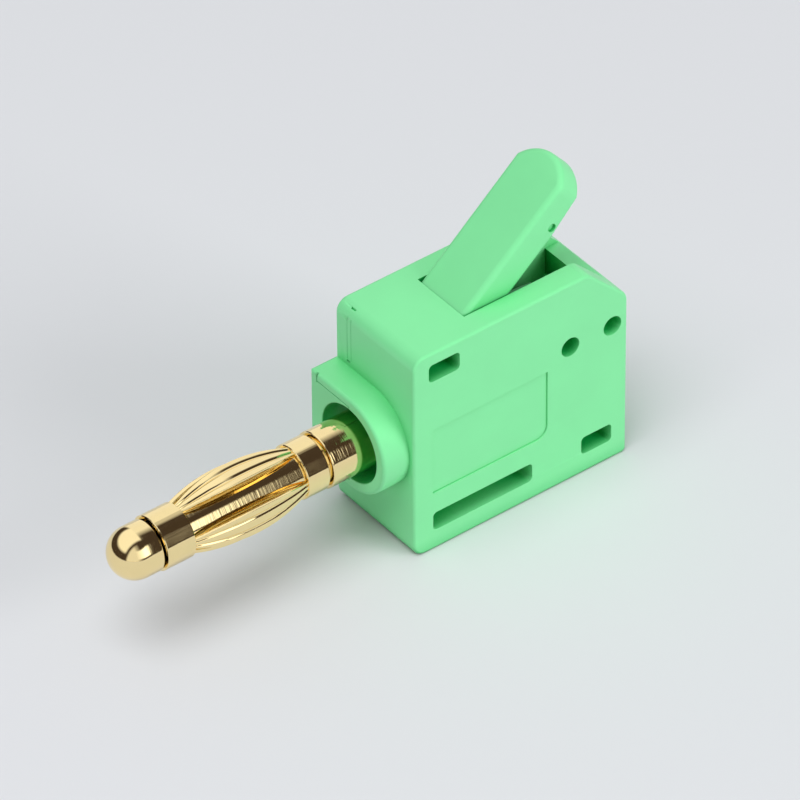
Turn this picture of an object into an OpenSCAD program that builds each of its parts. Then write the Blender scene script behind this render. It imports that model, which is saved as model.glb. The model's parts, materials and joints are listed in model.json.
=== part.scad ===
// Lever-clamp banana plug: a two-part moulded housing, a gold-plated pin with a
// lantern spring, and a lever that opens a spring clamp for one wire.
// Drawn from the housing's front face (x), near side (y) and base (z), then
// moved so that the middle of the base is the origin. The pin points to -X.

/* [Housing] */
// Length of the housing, front face to rear face
body_l = 16.8; // [16.6:0.1:18]
// Width of the housing, near side to far side
body_w = 7.8; // [7.6:0.1:8.4]
// Height of the housing, base to top
body_h = 15.7; // [15.6:0.1:16.5]
// Thickness of the near side wall
side_t = 1.6; // [1.5:0.05:1.7]
// Thickness of the cover that closes the far side
cover_t = 1.6; // [1.5:0.05:1.7]
// Thickness of the rear wall
rear_t = 1.6; // [1.4:0.1:1.8]
// Height of the solid base under the contacts
floor_t = 5.7; // [5.2:0.1:5.8]
// Rounding of the two front edges
front_r = 0.9; // [0.4:0.1:1.1]
// Rounding of the lower rear edge
rear_r = 0.3; // [0.1:0.05:0.6]
// Legs of the sloped corner above the wire entry
slope_leg = 3.1; // [2.6:0.1:3.3]
// Rounding at both ends of the slope
slope_r = 1.0; // [0.4:0.1:1.5]

/* [Side openings] */
// Length of a snap window
window_l = 2.4; // [2:0.1:2.6]
// Height of a snap window
window_h = 1.35; // [1.2:0.05:1.4]
// Depth of a snap window to its ledge
window_depth = 2.6; // [2.2:0.1:3]
// Distance of the front window from the front face and of the rear one from the rear face
window_x = 1.2; // [1:0.1:1.3]
// Distance of the front window below the top
window_drop = 0.9; // [0.85:0.05:1]
// Height of the rear window and the long pocket above the base
window_z = 1.5; // [1.3:0.1:1.8]
// Long pocket, distance from the front face
pocket_x = 1.5; // [1.2:0.1:2]
// Length of the long pocket
pocket_l = 7.8; // [6:0.1:9]
// Height of the long pocket
pocket_h = 1.4; // [1:0.1:1.6]
// Depth of the long pocket
pocket_depth = 3; // [1:0.1:4]
// Rounding of the corners of the pocket and the windows
opening_r = 0.3; // [0.1:0.05:0.32]
// Label panel, distance from the front face
panel_x = 1.5; // [1:0.1:2]
// Label panel, height above the base
panel_z = 4.5; // [3.8:0.1:5]
// Length of the label panel
panel_l = 9; // [7:0.1:9.4]
// Height of the label panel
panel_h = 5.1; // [4:0.1:5.4]
// Depth of the sunken label panel
panel_depth = 0.12; // [0.05:0.01:0.2]
// Rounding of the label panel's lower rear corner
panel_r = 0.8; // [0.3:0.1:1.5]
// Diameter of the two peg holes
peg_hole_d = 1.4; // [1.3:0.05:1.45]
// Diameter of the cover's two pegs
peg_d = 1.1; // [0.8:0.05:1.15]
// Depth at which the pegs end below the near side
peg_depth = 1.2; // [0.5:0.1:1.6]
// Height of the pegs above the base
peg_z = 10.7; // [10.65:0.01:10.75]
// Rear peg, distance from the rear face
peg_x = 1.2; // [1.1:0.05:1.3]
// Distance between the two pegs
peg_pitch = 3.33; // [3.2:0.01:3.6]

/* [Collar] */
// Length of the collar in front of the housing
collar_l = 2; // [1.5:0.1:3]
// Radius of the collar's round near half
collar_r = 3.5; // [3.45:0.05:3.6]
// Diameter of the collar's bore
collar_bore_d = 5.4; // [5:0.1:5.6]
// Depth of the bore behind the front face
bore_depth = 0.4; // [0.2:0.1:0.8]
// Thickness of the collar's upper and lower lips
lip_t = 0.55; // [0.5:0.05:0.6]
// Thickness of the cover where it closes the collar
collar_cover_t = 0.75; // [0.6:0.05:0.9]
// Height of the pin's axis above the base
axis_z = 7.8; // [7.75:0.01:7.85]

/* [Lever] */
// Width of the lever
lever_w = 4.4; // [4:0.05:4.44]
// Thickness of the lever
lever_t = 2.5; // [2.3:0.05:2.55]
// Reach of the lever from its pivot to its tip
lever_reach = 11.6; // [10.6:0.1:12]
// Thickness of the lever at its tip
lever_tip_t = 2.1; // [1.5:0.1:2.2]
// Length of the thinner tip
lever_taper = 4; // [3:0.1:5]
// Radius of the lever's rounded tip, seen from above
lever_tip_r = 2.7; // [2.3:0.1:5]
// Rounding of the lever's tip, seen from the side
lever_nose_r = 0.5; // [0.2:0.05:0.7]
// Angle to which the lever is raised
lever_open = 40.5; // [30:0.5:44]
// Lever pivot, distance from the front face
pivot_x = 5.85; // [5.8:0.01:5.9]
// Lever pivot, distance below the top
pivot_drop = 1.4; // [1.38:0.01:1.42]
// Diameter of the lever's trunnions
trunnion_d = 1.6; // [1.2:0.1:1.8]
// Length of each trunnion outside the lever's side
trunnion_l = 0.95; // [0.7:0.05:1.05]
// Distance from the pivot to the cam nose
cam_reach = 1.4; // [1.38:0.01:1.42]
// Radius of the cam nose
cam_r = 0.5; // [0.48:0.01:0.52]
// Angle of the cam nose while the lever is closed
cam_angle = 232; // [230:1:234]
// Diameter of the small hole in the lever's side
lever_hole_d = 0.6; // [0.4:0.05:0.8]
// Depth of the small hole in the lever's side
lever_hole_depth = 0.3; // [0.2:0.1:1]
// Small hole, distance from the lever's tip
lever_hole_x = 3.7; // [3:0.1:5]
// Small hole, distance below the pivot while the lever is closed
lever_hole_drop = 0.4; // [0:0.05:0.5]

/* [Pin] */
// Length of the pin in front of the housing
pin_l = 20.2; // [18:0.1:22]
// Diameter of the rounded head
head_d = 3.5; // [3.2:0.05:3.6]
// Length of the rounded head
head_l = 2.8; // [2.4:0.05:3.2]
// Width of the groove behind the head
groove_w = 0.2; // [0.1:0.05:0.4]
// Diameter of the core inside the lantern spring
core_d = 3.1; // [2.9:0.01:3.1]
// Diameter of the stem in the collar
stem_d = 3.85; // [3.7:0.05:3.9]
// Length of the stem in front of the housing
stem_l = 4.6; // [4:0.1:5]
// Width of the groove in front of the stem
stem_groove_w = 0.25; // [0.1:0.05:0.4]
// Diameter of the flange behind the front wall
flange_d = 4.8; // [4.4:0.1:4.9]
// Thickness of the flange
flange_t = 0.9; // [0.7:0.05:0.9]
// Distance of the flange behind the front face
flange_x = 1.65; // [1.5:0.05:1.65]
// Diameter of the tail that carries the contact bar
tail_d = 2; // [1.6:0.1:2.2]
// Diameter of the riveted end of the tail
rivet_d = 2.5; // [2.3:0.05:2.6]
// Thickness of the riveted end
rivet_t = 0.5; // [0.3:0.05:0.7]

/* [Lantern spring] */
// Largest size over two opposite leaves
lantern_d = 4.8; // [4.6:0.1:5.2]
// Diameter of the two end rings
ring_d = 3.7; // [3.65:0.01:3.75]
// Thickness of the sheet
lantern_t = 0.25; // [0.2:0.01:0.25]
// Length of the front ring
front_ring_l = 2.1; // [1.5:0.1:3]
// Length of the rear ring
rear_ring_l = 1.6; // [1:0.1:2.5]
// Number of leaves
leaf_count = 4; // [3:1:4]
// Width of a leaf at its middle
leaf_w = 1.9; // [1.4:0.1:2.4]
// Width of a leaf at its ends
leaf_end_w = 0.7; // [0.5:0.05:1.3]

/* [Contact bar and clamp] */
// Thickness of the contact bar
bar_t = 0.8; // [0.75:0.01:0.82]
// Width of the contact bar
bar_w = 3.6; // [3:0.1:3.9]
// Height of the bar's underside above the pin's axis
bar_rise = 1.4; // [1.38:0.01:1.42]
// Length of the bar's upright below the axis
bar_drop = 1.9; // [1.5:0.1:2]
// Width of the bar's tongue inside the clamp window
bar_tongue_w = 2.2; // [1.8:0.1:2.3]
// Length of the bar's tongue past the clamp
bar_tongue_l = 0.9; // [0.4:0.1:1.4]
// Thickness of the clamp spring
spring_t = 0.3; // [0.25:0.01:0.32]
// Width of the clamp spring
spring_w = 3.2; // [2.9:0.1:3.6]
// Outer radius of the clamp spring's bend
spring_r = 1.25; // [1.23:0.01:1.27]
// Centre of the bend, distance from the front face
spring_x = 3.7; // [3.65:0.01:3.75]
// Length of the spring's foot on the bar
foot_l = 6.5; // [5:0.1:7]
// Clamp tongue, distance from the rear face
clamp_x = 3.6; // [3.3:0.1:3.7]
// Height of the wire space under the bar
wire_gap = 1.5; // [1:0.1:1.8]
// Height of the clamp's cross piece
cross_h = 0.8; // [0.5:0.1:1]
// Width of the window in the clamp
clamp_window_w = 2.4; // [2.3:0.05:2.6]
// Diameter of the wire entry
wire_d = 3; // [2:0.1:3.1]
// Width of the wire entry's lead-in slope
lead_in = 0.6; // [0.2:0.1:0.8]
// Height of the wire entry above the pin's axis
wire_rise = 0.3; // [0.1:0.05:0.3]
// Width of the ledges that carry the bar's edges
ledge_w = 0.8; // [0.6:0.05:0.9]

/* [Fits] */
// Running clearance on the radius of the trunnions
pivot_fit = 0.05; // [0.03:0.01:0.08]
// Gap around the lever's round front end
lever_gap = 0.15; // [0.12:0.01:0.18]
// Clearance between the moulded parts
part_gap = 0.05; // [0.03:0.01:0.08]
// Clearance of the snap hooks in their windows
hook_gap = 0.1; // [0.05:0.01:0.15]
// Clearance between metal pieces that are set together
metal_gap = 0.02; // [0.01:0.005:0.03]

/* [Hidden] */
$fn = 96;
fine = 360;
cut = 1;

moulded_green = [0.42, 0.86, 0.55];
gold_plate = [0.89, 0.73, 0.40];
tinned_copper = [0.80, 0.66, 0.52];
spring_steel = [0.70, 0.71, 0.72];

// Planes across the width
seam_y = body_w - cover_t;
mid_y = (side_t + seam_y) / 2;
axis_y = body_w / 2;
lip_end_y = body_w - collar_cover_t;

// Heights and lengths inside the housing
insert_h = 2 * (collar_r - lip_t);
pivot_z = body_h - pivot_drop;
slope_foot_z = body_h - slope_leg;
sill_z = slope_foot_z + lip_t;
rear_x = body_l - rear_t;
front_window_z = body_h - window_drop - window_h;
rear_window_x = body_l - window_x - window_l;
hook_h = window_h / 2 - hook_gap;

// Lever: its round front end touches the plane of its top face
boss_r = pivot_drop;
recess_r = boss_r + lever_gap;
lever_under = lever_t - pivot_drop;
cam_sweep = cam_reach + cam_r + lever_gap;

// Stations along the pin
head_end = -pin_l + head_l;
ring_start = head_end + groove_w;
leaf_start = ring_start + front_ring_l;
ring_end = -stem_l - stem_groove_w;
leaf_end = ring_end - rear_ring_l;
leaf_mid = (leaf_start + leaf_end) / 2;
leaf_half = (leaf_end - leaf_start) / 2;
leaf_root = 2 * lantern_t;
leaf_sink = 2 * part_gap;
ring_in = ring_d / 2 - lantern_t;
flange_end = flange_x + flange_t;
plate_x = flange_end + part_gap;
rivet_x = plate_x + bar_t + metal_gap;

// Contact bar and clamp, as the raised lever holds it
bar_z = axis_z + bar_rise;
bar_top = bar_z + bar_t;
clamp_front = body_l - clamp_x;
bar_end = clamp_front + spring_t + bar_tongue_l;
bend = [spring_x, bar_top + metal_gap + spring_r];
cam_open = [pivot_x, pivot_z] + point_at(cam_angle + lever_open, cam_reach);
cam_arm = cam_open - bend;
arm_slope = asin((spring_r + cam_r + part_gap) / norm(cam_arm)) - atan2(cam_arm[1], cam_arm[0]);
cross_top = bar_z - wire_gap;

function point_at(a, r = 1) = r * [cos(a), sin(a)];
// Radius of the circle through (half, 0) and (0, rise)
function arc_radius(half, rise) = (half * half + rise * rise) / (2 * rise);

module placed() {
    translate([-body_l / 2, -body_w / 2, 0]) children();
}

// A side outline (x, z) made solid between two planes across the width
module across(y0, y1) {
    translate([0, y1, 0]) rotate([90, 0, 0]) linear_extrude(y1 - y0) children();
}

// A front outline (y, z) made solid between two stations along the length
module along(x0, x1) {
    translate([x0, 0, 0]) rotate([90, 0, 90]) linear_extrude(x1 - x0) children();
}

// What a round of radius r takes off the corner p between edges at angles a and b
module corner_waste(p, a, b, r) {
    half = (b - a) / 2;
    reach = r / tan(half);
    centre = p + point_at(a + half, r / sin(half));
    difference() {
        polygon([
            p - point_at(a + half, r),
            p + point_at(a, reach),
            centre,
            p + point_at(b, reach)
        ]);
        translate(centre) circle(r);
    }
}

module rect(x0, x1, z0, z1) {
    translate([x0, z0]) square([x1 - x0, z1 - z0]);
}

module side_outline() {
    difference() {
        polygon([
            [0, 0], [body_l, 0], [body_l, slope_foot_z],
            [body_l - slope_leg, body_h], [0, body_h]
        ]);
        corner_waste([0, 0], 0, 90, front_r);
        corner_waste([0, body_h], -90, 0, front_r);
        corner_waste([body_l, 0], 90, 180, rear_r);
        corner_waste([body_l - slope_leg, body_h], 180, 315, slope_r);
        corner_waste([body_l, slope_foot_z], 135, 270, slope_r);
    }
}

// Round on the near side, straight out to the far side
module collar_outline() {
    translate([axis_y, axis_z]) circle(collar_r);
    rect(axis_y, lip_end_y, axis_z - collar_r, axis_z + collar_r);
}

// The half of the collar that the cover carries
module insert_outline(far_y, gap) {
    rect(axis_y + gap, far_y, axis_z - insert_h / 2 + gap, axis_z + insert_h / 2 - gap);
}

module bored(x0, x1, d) {
    translate([x0, axis_y, axis_z]) rotate([0, 90, 0]) cylinder(d = d, h = x1 - x0);
}

// Bore of the collar, guide for the stem and pocket for the flange
module pin_way() {
    bored(-collar_l - cut, bore_depth, collar_bore_d);
    bored(0, flange_x, stem_d + 2 * part_gap);
    bored(flange_x - part_gap, plate_x + part_gap, flange_d + 2 * hook_gap);
}

module trunnion_hole(y, depth) {
    translate([pivot_x, y, pivot_z]) rotate([-90, 0, 0])
        cylinder(d = trunnion_d + 2 * pivot_fit, h = depth);
}

module label_panel() {
    difference() {
        rect(panel_x, panel_x + panel_l, panel_z, panel_z + panel_h);
        corner_waste([panel_x + panel_l, panel_z], 90, 180, panel_r);
    }
}

// Outline of an opening in the near side
module opening(x, z, l, h) {
    difference() {
        rect(x, x + l, z, z + h);
        corner_waste([x, z], 0, 90, opening_r);
        corner_waste([x + l, z], 90, 180, opening_r);
        corner_waste([x + l, z + h], 180, 270, opening_r);
        corner_waste([x, z + h], -90, 0, opening_r);
    }
}

// Snap window and the narrower way to it through the body
module snap_window(x, z) {
    across(-cut, window_depth) opening(x, z, window_l, window_h);
    across(window_depth - part_gap, seam_y + cut) rect(x, x + window_l, z, z + hook_h + 2 * hook_gap);
}

// Snap hook of the cover, with a barb behind the window's ledge
module snap_hook(x, z) {
    barb_y = window_depth - part_gap;
    barb_h = window_h - 2 * hook_gap;
    tip_y = barb_y - hook_h;
    translate([0, 0, z + hook_gap]) along(x + hook_gap, x + window_l - hook_gap)
        polygon([
            [seam_y + 2 * part_gap, 0], [seam_y + 2 * part_gap, hook_h], [barb_y, hook_h],
            [barb_y, barb_h], [(barb_y + tip_y) / 2, barb_h], [tip_y, hook_h], [tip_y, 0]
        ]);
}

module peg_row(d, y0, y1) {
    for (x = [body_l - peg_x - peg_pitch, body_l - peg_x])
        translate([x, y0, peg_z]) rotate([-90, 0, 0]) cylinder(d = d, h = y1 - y0);
}

// Ledge under the edge of the contact bar
module bar_ledge(y0, y1) {
    translate([spring_x + spring_r, y0, bar_z - bar_t - metal_gap]) cube([foot_l, y1 - y0, bar_t]);
}

// Space for the contacts, open above where the lever lies
module chamber() {
    across(side_t, seam_y + cut) {
        rect(plate_x - part_gap, rear_x, floor_t, bend[1]);
        rect(spring_x - spring_r - lever_gap, rear_x, bar_top, bend[1] + spring_r + lever_gap);
        rect(pivot_x, rear_x, bend[1], body_h + cut);
        rect(rear_x - cut, body_l + cut, sill_z, body_h + cut);
        translate([pivot_x, pivot_z]) circle(recess_r);
        intersection() {
            translate([pivot_x, pivot_z]) circle(cam_sweep);
            rect(0, pivot_x, 0, pivot_z - cam_r);
        }
    }
}

module wire_entry() {
    translate([0, mid_y, axis_z + wire_rise]) rotate([0, 90, 0]) {
        translate([0, 0, rear_x - cut]) cylinder(d = wire_d, h = rear_t + 2 * cut);
        translate([0, 0, body_l - lead_in]) cylinder(d1 = wire_d, d2 = wire_d + 4 * lead_in, h = 2 * lead_in);
    }
}

module housing_body() {
    color(moulded_green) placed() {
        difference() {
            union() {
                across(0, seam_y) side_outline();
                along(-collar_l, 0) collar_outline();
            }
            chamber();
            along(-collar_l - cut, plate_x) insert_outline(body_w + cut, 0);
            pin_way();
            wire_entry();
            trunnion_hole(side_t - trunnion_l, trunnion_l + cut);
            snap_window(window_x, front_window_z);
            snap_window(rear_window_x, window_z);
            across(-cut, panel_depth) label_panel();
            across(-cut, pocket_depth) opening(pocket_x, window_z, pocket_l, pocket_h);
            peg_row(peg_hole_d, -cut, seam_y + cut);
        }
        bar_ledge(side_t - part_gap, side_t + ledge_w);
    }
}

module housing_cover() {
    color(moulded_green) placed() {
        difference() {
            union() {
                across(seam_y + part_gap, body_w) side_outline();
                along(-collar_l, front_r)
                    rect(lip_end_y + part_gap, body_w, axis_z - collar_r, axis_z + collar_r);
                along(-collar_l, flange_end) insert_outline(lip_end_y + 2 * part_gap, part_gap);
            }
            pin_way();
            trunnion_hole(seam_y, trunnion_l);
        }
        snap_hook(window_x, front_window_z);
        snap_hook(rear_window_x, window_z);
        peg_row(peg_d, peg_depth, seam_y + 2 * part_gap);
        bar_ledge(seam_y - ledge_w, seam_y + 2 * part_gap);
    }
}

// Side view of the lever lying closed, with its pivot at the origin
module lever_side() {
    tip_under = pivot_drop - lever_tip_t;
    taper_angle = atan((lever_under + tip_under) / lever_taper);
    difference() {
        union() {
            circle(boss_r);
            polygon([
                [0, boss_r], [0, -lever_under], [lever_reach - lever_taper, -lever_under],
                [lever_reach, tip_under], [lever_reach, boss_r]
            ]);
        }
        corner_waste([lever_reach, boss_r], 180, 270, lever_nose_r);
        corner_waste([lever_reach, tip_under], 90, 180 + taper_angle, lever_nose_r);
    }
    translate(point_at(cam_angle, cam_reach)) circle(cam_r);
}

// Top view of the lever, with its pivot at the origin
module lever_top() {
    intersection() {
        rect(-cam_sweep, lever_reach + cut, -lever_w / 2, lever_w / 2);
        union() {
            translate([lever_reach - lever_tip_r, 0]) circle(lever_tip_r, $fn = fine);
            rect(-cam_sweep, lever_reach - lever_tip_r, -lever_w, lever_w);
        }
    }
}

module lever() {
    color(moulded_green) placed() translate([pivot_x, mid_y, pivot_z]) rotate([0, -lever_open, 0]) {
        difference() {
            intersection() {
                across(-lever_w, lever_w) lever_side();
                translate([0, 0, -lever_t]) linear_extrude(2 * lever_t) lever_top();
            }
            translate([lever_reach - lever_hole_x, -lever_w / 2 - cut, -lever_hole_drop]) rotate([-90, 0, 0])
                cylinder(d = lever_hole_d, h = lever_hole_depth + cut);
        }
        rotate([90, 0, 0]) cylinder(d = trunnion_d, h = lever_w + 2 * (trunnion_l - part_gap), center = true);
    }
}

// Half outline of the turned pin, radius against station
module pin_half() {
    dome_r = head_d / 2;
    translate([0, -pin_l + dome_r]) intersection() {
        circle(dome_r);
        translate([0, -dome_r]) square([dome_r, dome_r]);
    }
    rect(0, dome_r, -pin_l + dome_r, head_end);
    rect(0, core_d / 2, head_end, -stem_l);
    rect(0, stem_d / 2, -stem_l, flange_x);
    rect(0, flange_d / 2, flange_x, flange_end);
    rect(0, tail_d / 2, flange_end, rivet_x);
    rect(0, rivet_d / 2, rivet_x, rivet_x + rivet_t);
}

// Turns an outline about the pin's axis
module turned() {
    translate([0, axis_y, axis_z]) rotate([0, 90, 0]) rotate_extrude() children();
}

module contact_pin() {
    color(gold_plate) placed() turned() pin_half();
}

// Side view of the sheet bowed between the two rings
module bowed_sheet() {
    bow = arc_radius(leaf_half, (lantern_d - ring_d) / 2 + leaf_sink);
    intersection() {
        translate([leaf_mid, lantern_d / 2 - bow]) difference() {
            circle(bow, $fn = 4 * fine);
            circle(bow - lantern_t, $fn = 4 * fine);
        }
        rect(leaf_start - leaf_root, leaf_end + leaf_root, ring_in + metal_gap, lantern_d);
    }
}

// Leaf seen from outside: widest at its middle, with curved edges
module leaf_top() {
    sweep = arc_radius(leaf_half, (leaf_w - leaf_end_w) / 2);
    intersection() {
        translate([0, sweep - leaf_w / 2]) circle(sweep, $fn = 2 * fine);
        translate([0, leaf_w / 2 - sweep]) circle(sweep, $fn = 2 * fine);
        square([2 * (leaf_half + leaf_root), leaf_w], center = true);
    }
}

// One leaf above the pin's axis, flat across its width
module leaf() {
    intersection() {
        across(-leaf_w, leaf_w) bowed_sheet();
        translate([leaf_mid, 0, 0]) linear_extrude(lantern_d) leaf_top();
    }
}

module lantern_spring() {
    color(gold_plate) placed() {
        turned() {
            rect(ring_in, ring_d / 2, ring_start, leaf_start);
            rect(ring_in, ring_d / 2, leaf_end, ring_end);
        }
        translate([0, axis_y, axis_z]) for (i = [0 : leaf_count - 1])
            rotate([i * 360 / leaf_count, 0, 0]) leaf();
    }
}

module busbar() {
    y0 = mid_y - bar_w / 2;
    color(tinned_copper) placed() difference() {
        union() {
            translate([plate_x, y0, axis_z - bar_drop]) cube([bar_t, bar_w, bar_top - axis_z + bar_drop]);
            translate([plate_x, y0, bar_z]) cube([clamp_front - bar_t - plate_x, bar_w, bar_t]);
            translate([plate_x, mid_y - bar_tongue_w / 2, bar_z])
                cube([bar_end - plate_x, bar_tongue_w, bar_t]);
        }
        bored(plate_x - cut, plate_x + bar_t + cut, tail_d + 2 * metal_gap);
    }
}

// The space inside a hairpin of radius r whose legs end at run
module hairpin(r, run) {
    up = [sin(arm_slope), cos(arm_slope)];
    translate(bend) {
        circle(r);
        polygon([[0, 0], [0, -r], [run, -r], [run, r / up[1] - run * tan(arm_slope)], r * up]);
    }
}

// Side view of the clamp spring
module spring_side() {
    run = clamp_front + spring_t - spring_x;
    foot_z = bend[1] - spring_r;
    elbow_z = bend[1] + spring_r / cos(arm_slope) - run * tan(arm_slope);
    difference() {
        hairpin(spring_r, run);
        hairpin(spring_r - spring_t, run + cut);
        rect(spring_x + foot_l, body_l, foot_z - cut, foot_z + 2 * spring_t);
    }
    rect(clamp_front, clamp_front + spring_t, cross_top - cross_h, elbow_z);
}

module clamp_spring() {
    color(spring_steel) placed() difference() {
        across(mid_y - spring_w / 2, mid_y + spring_w / 2) spring_side();
        translate([clamp_front - cut, mid_y - clamp_window_w / 2, cross_top])
            cube([spring_t + 2 * cut, clamp_window_w, wire_gap + bar_t + spring_t]);
    }
}

housing_body();
housing_cover();
lever();
contact_pin();
lantern_spring();
busbar();
clamp_spring();
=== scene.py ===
"""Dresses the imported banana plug: softened mouldings, turned pin, leaf spring, stage and light."""

import json
import math

import bmesh
import bpy
from bpy.props import FloatProperty, FloatVectorProperty, IntProperty, PointerProperty
from mathutils import Euler, Matrix, Vector


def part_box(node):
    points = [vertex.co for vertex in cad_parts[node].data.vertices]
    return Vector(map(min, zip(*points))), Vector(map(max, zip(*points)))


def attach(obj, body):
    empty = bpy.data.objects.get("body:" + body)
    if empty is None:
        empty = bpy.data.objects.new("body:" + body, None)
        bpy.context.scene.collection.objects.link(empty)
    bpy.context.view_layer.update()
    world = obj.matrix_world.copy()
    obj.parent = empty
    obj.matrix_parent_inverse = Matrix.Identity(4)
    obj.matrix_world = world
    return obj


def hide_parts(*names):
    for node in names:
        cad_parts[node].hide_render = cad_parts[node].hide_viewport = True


bl_info = {
    "name": "Lever banana plug",
    "version": (1, 0, 0),
    "blender": (4, 5, 0),
    "location": "View3D > Sidebar > Plug",
    "description": "Builds the visible pieces of a lever banana plug around its packed solids",
    "category": "Object",
}

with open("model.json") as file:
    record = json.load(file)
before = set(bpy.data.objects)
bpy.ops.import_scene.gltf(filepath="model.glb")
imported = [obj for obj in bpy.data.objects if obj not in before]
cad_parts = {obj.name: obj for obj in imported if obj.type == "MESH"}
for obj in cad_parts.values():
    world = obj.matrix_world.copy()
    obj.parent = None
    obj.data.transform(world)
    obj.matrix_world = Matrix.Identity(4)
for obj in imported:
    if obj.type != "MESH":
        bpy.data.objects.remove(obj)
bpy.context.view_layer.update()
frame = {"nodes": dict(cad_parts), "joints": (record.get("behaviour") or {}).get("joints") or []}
HOUSING = "housing"
LEVER = "lever"
HINGE = frame["joints"][0]

# Places and sizes of the pieces are in millimetres, and become metres in piece_from
MM = 0.001
BODY_LOW, BODY_HIGH = (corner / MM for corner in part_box("housing_body"))
COVER_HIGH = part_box("housing_cover")[1] / MM
LANTERN_LOW, LANTERN_HIGH = (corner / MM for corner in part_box("lantern_spring"))
PIN_LOW, PIN_HIGH = (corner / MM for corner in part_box("contact_pin"))
PIN_AXIS_Z = (LANTERN_LOW.z + LANTERN_HIGH.z) / 2
FAR_Y = COVER_HIGH.y
NEAR_Y = -FAR_Y
REAR_X = BODY_HIGH.x
FRONT_X = -REAR_X
TOP_Z = BODY_HIGH.z
COLLAR_X = BODY_LOW.x
COLLAR_RADIUS = 3.5
COLLAR_BORE_RADIUS = 2.7
COVER_THICKNESS = 1.6
COLLAR_COVER_THICKNESS = 0.75
SEAM_Y = FAR_Y - COVER_THICKNESS
LIP_Y = FAR_Y - COLLAR_COVER_THICKNESS
FIT_GAP = 0.05
LEAF_SINK = 0.1
STEM_LENGTH = 4.6
MERGE_DISTANCE = 0.0005

SHARP_EDGE = math.radians(32)
SMOOTH_LIMIT = math.radians(38)
FLAT_LIMIT = math.radians(0.5)
FACE_WEIGHT = 60
TURNED_SIDES = 96
MOULDED_SIDES = 64


def linear(hex_colour):
    """Linear RGBA from an sRGB hex value."""
    channels = [int(hex_colour[i : i + 2], 16) / 255 for i in (1, 3, 5)]
    return [c / 12.92 if c <= 0.04045 else ((c + 0.055) / 1.055) ** 2.4 for c in channels] + [1.0]


def toned(colour, red, green, blue):
    """A colour with each channel taken times its share, up to full."""
    return [min(1, c * share) for c, share in zip(colour, (red, green, blue))] + [1]


class PlugMouldings(bpy.types.PropertyGroup):
    """Edges and colours of the moulded housing and lever"""

    green: FloatVectorProperty(
        name="Green", description="Colour of the moulded plastic",
        subtype="COLOR", size=4, min=0, max=1, default=linear("#82E8A0"),
    )
    side_edge: FloatProperty(
        name="Side edge", description="Radius along the outline of the near side, in mm",
        default=0.2, min=0.05, max=0.4,
    )
    cover_edge: FloatProperty(
        name="Cover edge", description="Radius along the outline of the cover, in mm",
        default=0.25, min=0.05, max=0.5,
    )
    collar_edge: FloatProperty(
        name="Collar edge", description="Radius round the front of the collar, in mm",
        default=0.25, min=0.05, max=0.4,
    )
    opening_edge: FloatProperty(
        name="Opening edge",
        description="Radius round bore, windows, pocket, holes and lever recess, in mm",
        default=0.09, min=0.02, max=0.12,
    )
    seam_line: FloatProperty(
        name="Seam line",
        description="Width of the fine lines where the cover meets the body, in mm",
        default=0.05, min=0.02, max=0.1,
    )
    panel_edge: FloatProperty(
        name="Panel edge", description="Radius round the label panel, in mm",
        default=0.04, min=0.01, max=0.06,
    )
    lever_edge: FloatProperty(
        name="Lever edge", description="Radius along the lever's edges, in mm",
        default=0.4, min=0.05, max=0.5,
    )
    lever_width: FloatProperty(
        name="Lever width", description="Width of the lever, in mm",
        default=4.4, min=4, max=4.44,
    )
    lever_reach: FloatProperty(
        name="Lever reach", description="From the pivot to the lever's tip, in mm",
        default=11.6, min=10.6, max=12,
    )
    lever_tip: FloatProperty(
        name="Lever tip", description="Radius of the tip, seen from above, in mm",
        default=2.5, min=2.3, max=5,
    )


class PlugContacts(bpy.types.PropertyGroup):
    """Sizes and colours of the turned pin and its leaf spring"""

    gold: FloatVectorProperty(
        name="Gold", description="Colour of the plating",
        subtype="COLOR", size=4, min=0, max=1, default=linear("#FFE8AC"),
    )
    leaf_count: IntProperty(
        name="Leaves", description="Number of spring leaves",
        default=4, min=3, max=5,
    )
    leaf_middle: FloatProperty(
        name="Leaf width", description="Width of a leaf at its middle, in mm",
        default=1.9, min=1.4, max=2.4,
    )
    leaf_ends: FloatProperty(
        name="Leaf end width", description="Width of a leaf at its ends, in mm",
        default=0.7, min=0.5, max=1.3,
    )
    sheet: FloatProperty(
        name="Sheet", description="Thickness of the leaf sheet, in mm",
        default=0.25, min=0.2, max=0.26,
    )
    ring_radius: FloatProperty(
        name="Ring radius", description="Radius of the end rings, in mm",
        default=1.85, min=1.8, max=1.9,
    )
    front_ring: FloatProperty(
        name="Front ring", description="Length of the front ring, in mm",
        default=2.1, min=1.5, max=3,
    )
    rear_ring: FloatProperty(
        name="Rear ring", description="Length of the rear ring, in mm",
        default=1.6, min=1, max=2.5,
    )


class PlugStage(bpy.types.PropertyGroup):
    """Floor and camera"""

    floor: FloatVectorProperty(
        name="Floor", description="Colour of the floor",
        subtype="COLOR", size=4, min=0, max=1, default=linear("#DDDFE3"),
    )
    camera_place: FloatVectorProperty(
        name="Camera place", description="Where the camera stands, in mm",
        size=3, default=(-286.72, -362.92, 392.09),
    )
    camera_turn: FloatVectorProperty(
        name="Camera turn", description="How the camera is turned",
        subtype="EULER", size=3, default=[math.radians(a) for a in (50.1397, 0.2991, -37.9301)],
    )
    camera_lens: FloatProperty(
        name="Lens", description="Focal length on a 36 mm frame",
        default=437.1, min=50, max=1000,
    )


def node(tree, kind, settings=None, links=None):
    """Adds one node, sets its attributes and sockets, and links named sockets to it."""
    made = tree.nodes.new(kind)
    for key, value in (settings or {}).items():
        if isinstance(key, str) and hasattr(made, key):
            setattr(made, key, value)
        else:
            made.inputs[key].default_value = value
    for key, source in (links or {}).items():
        tree.links.new(source, made.inputs[key])
    return made


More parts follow.
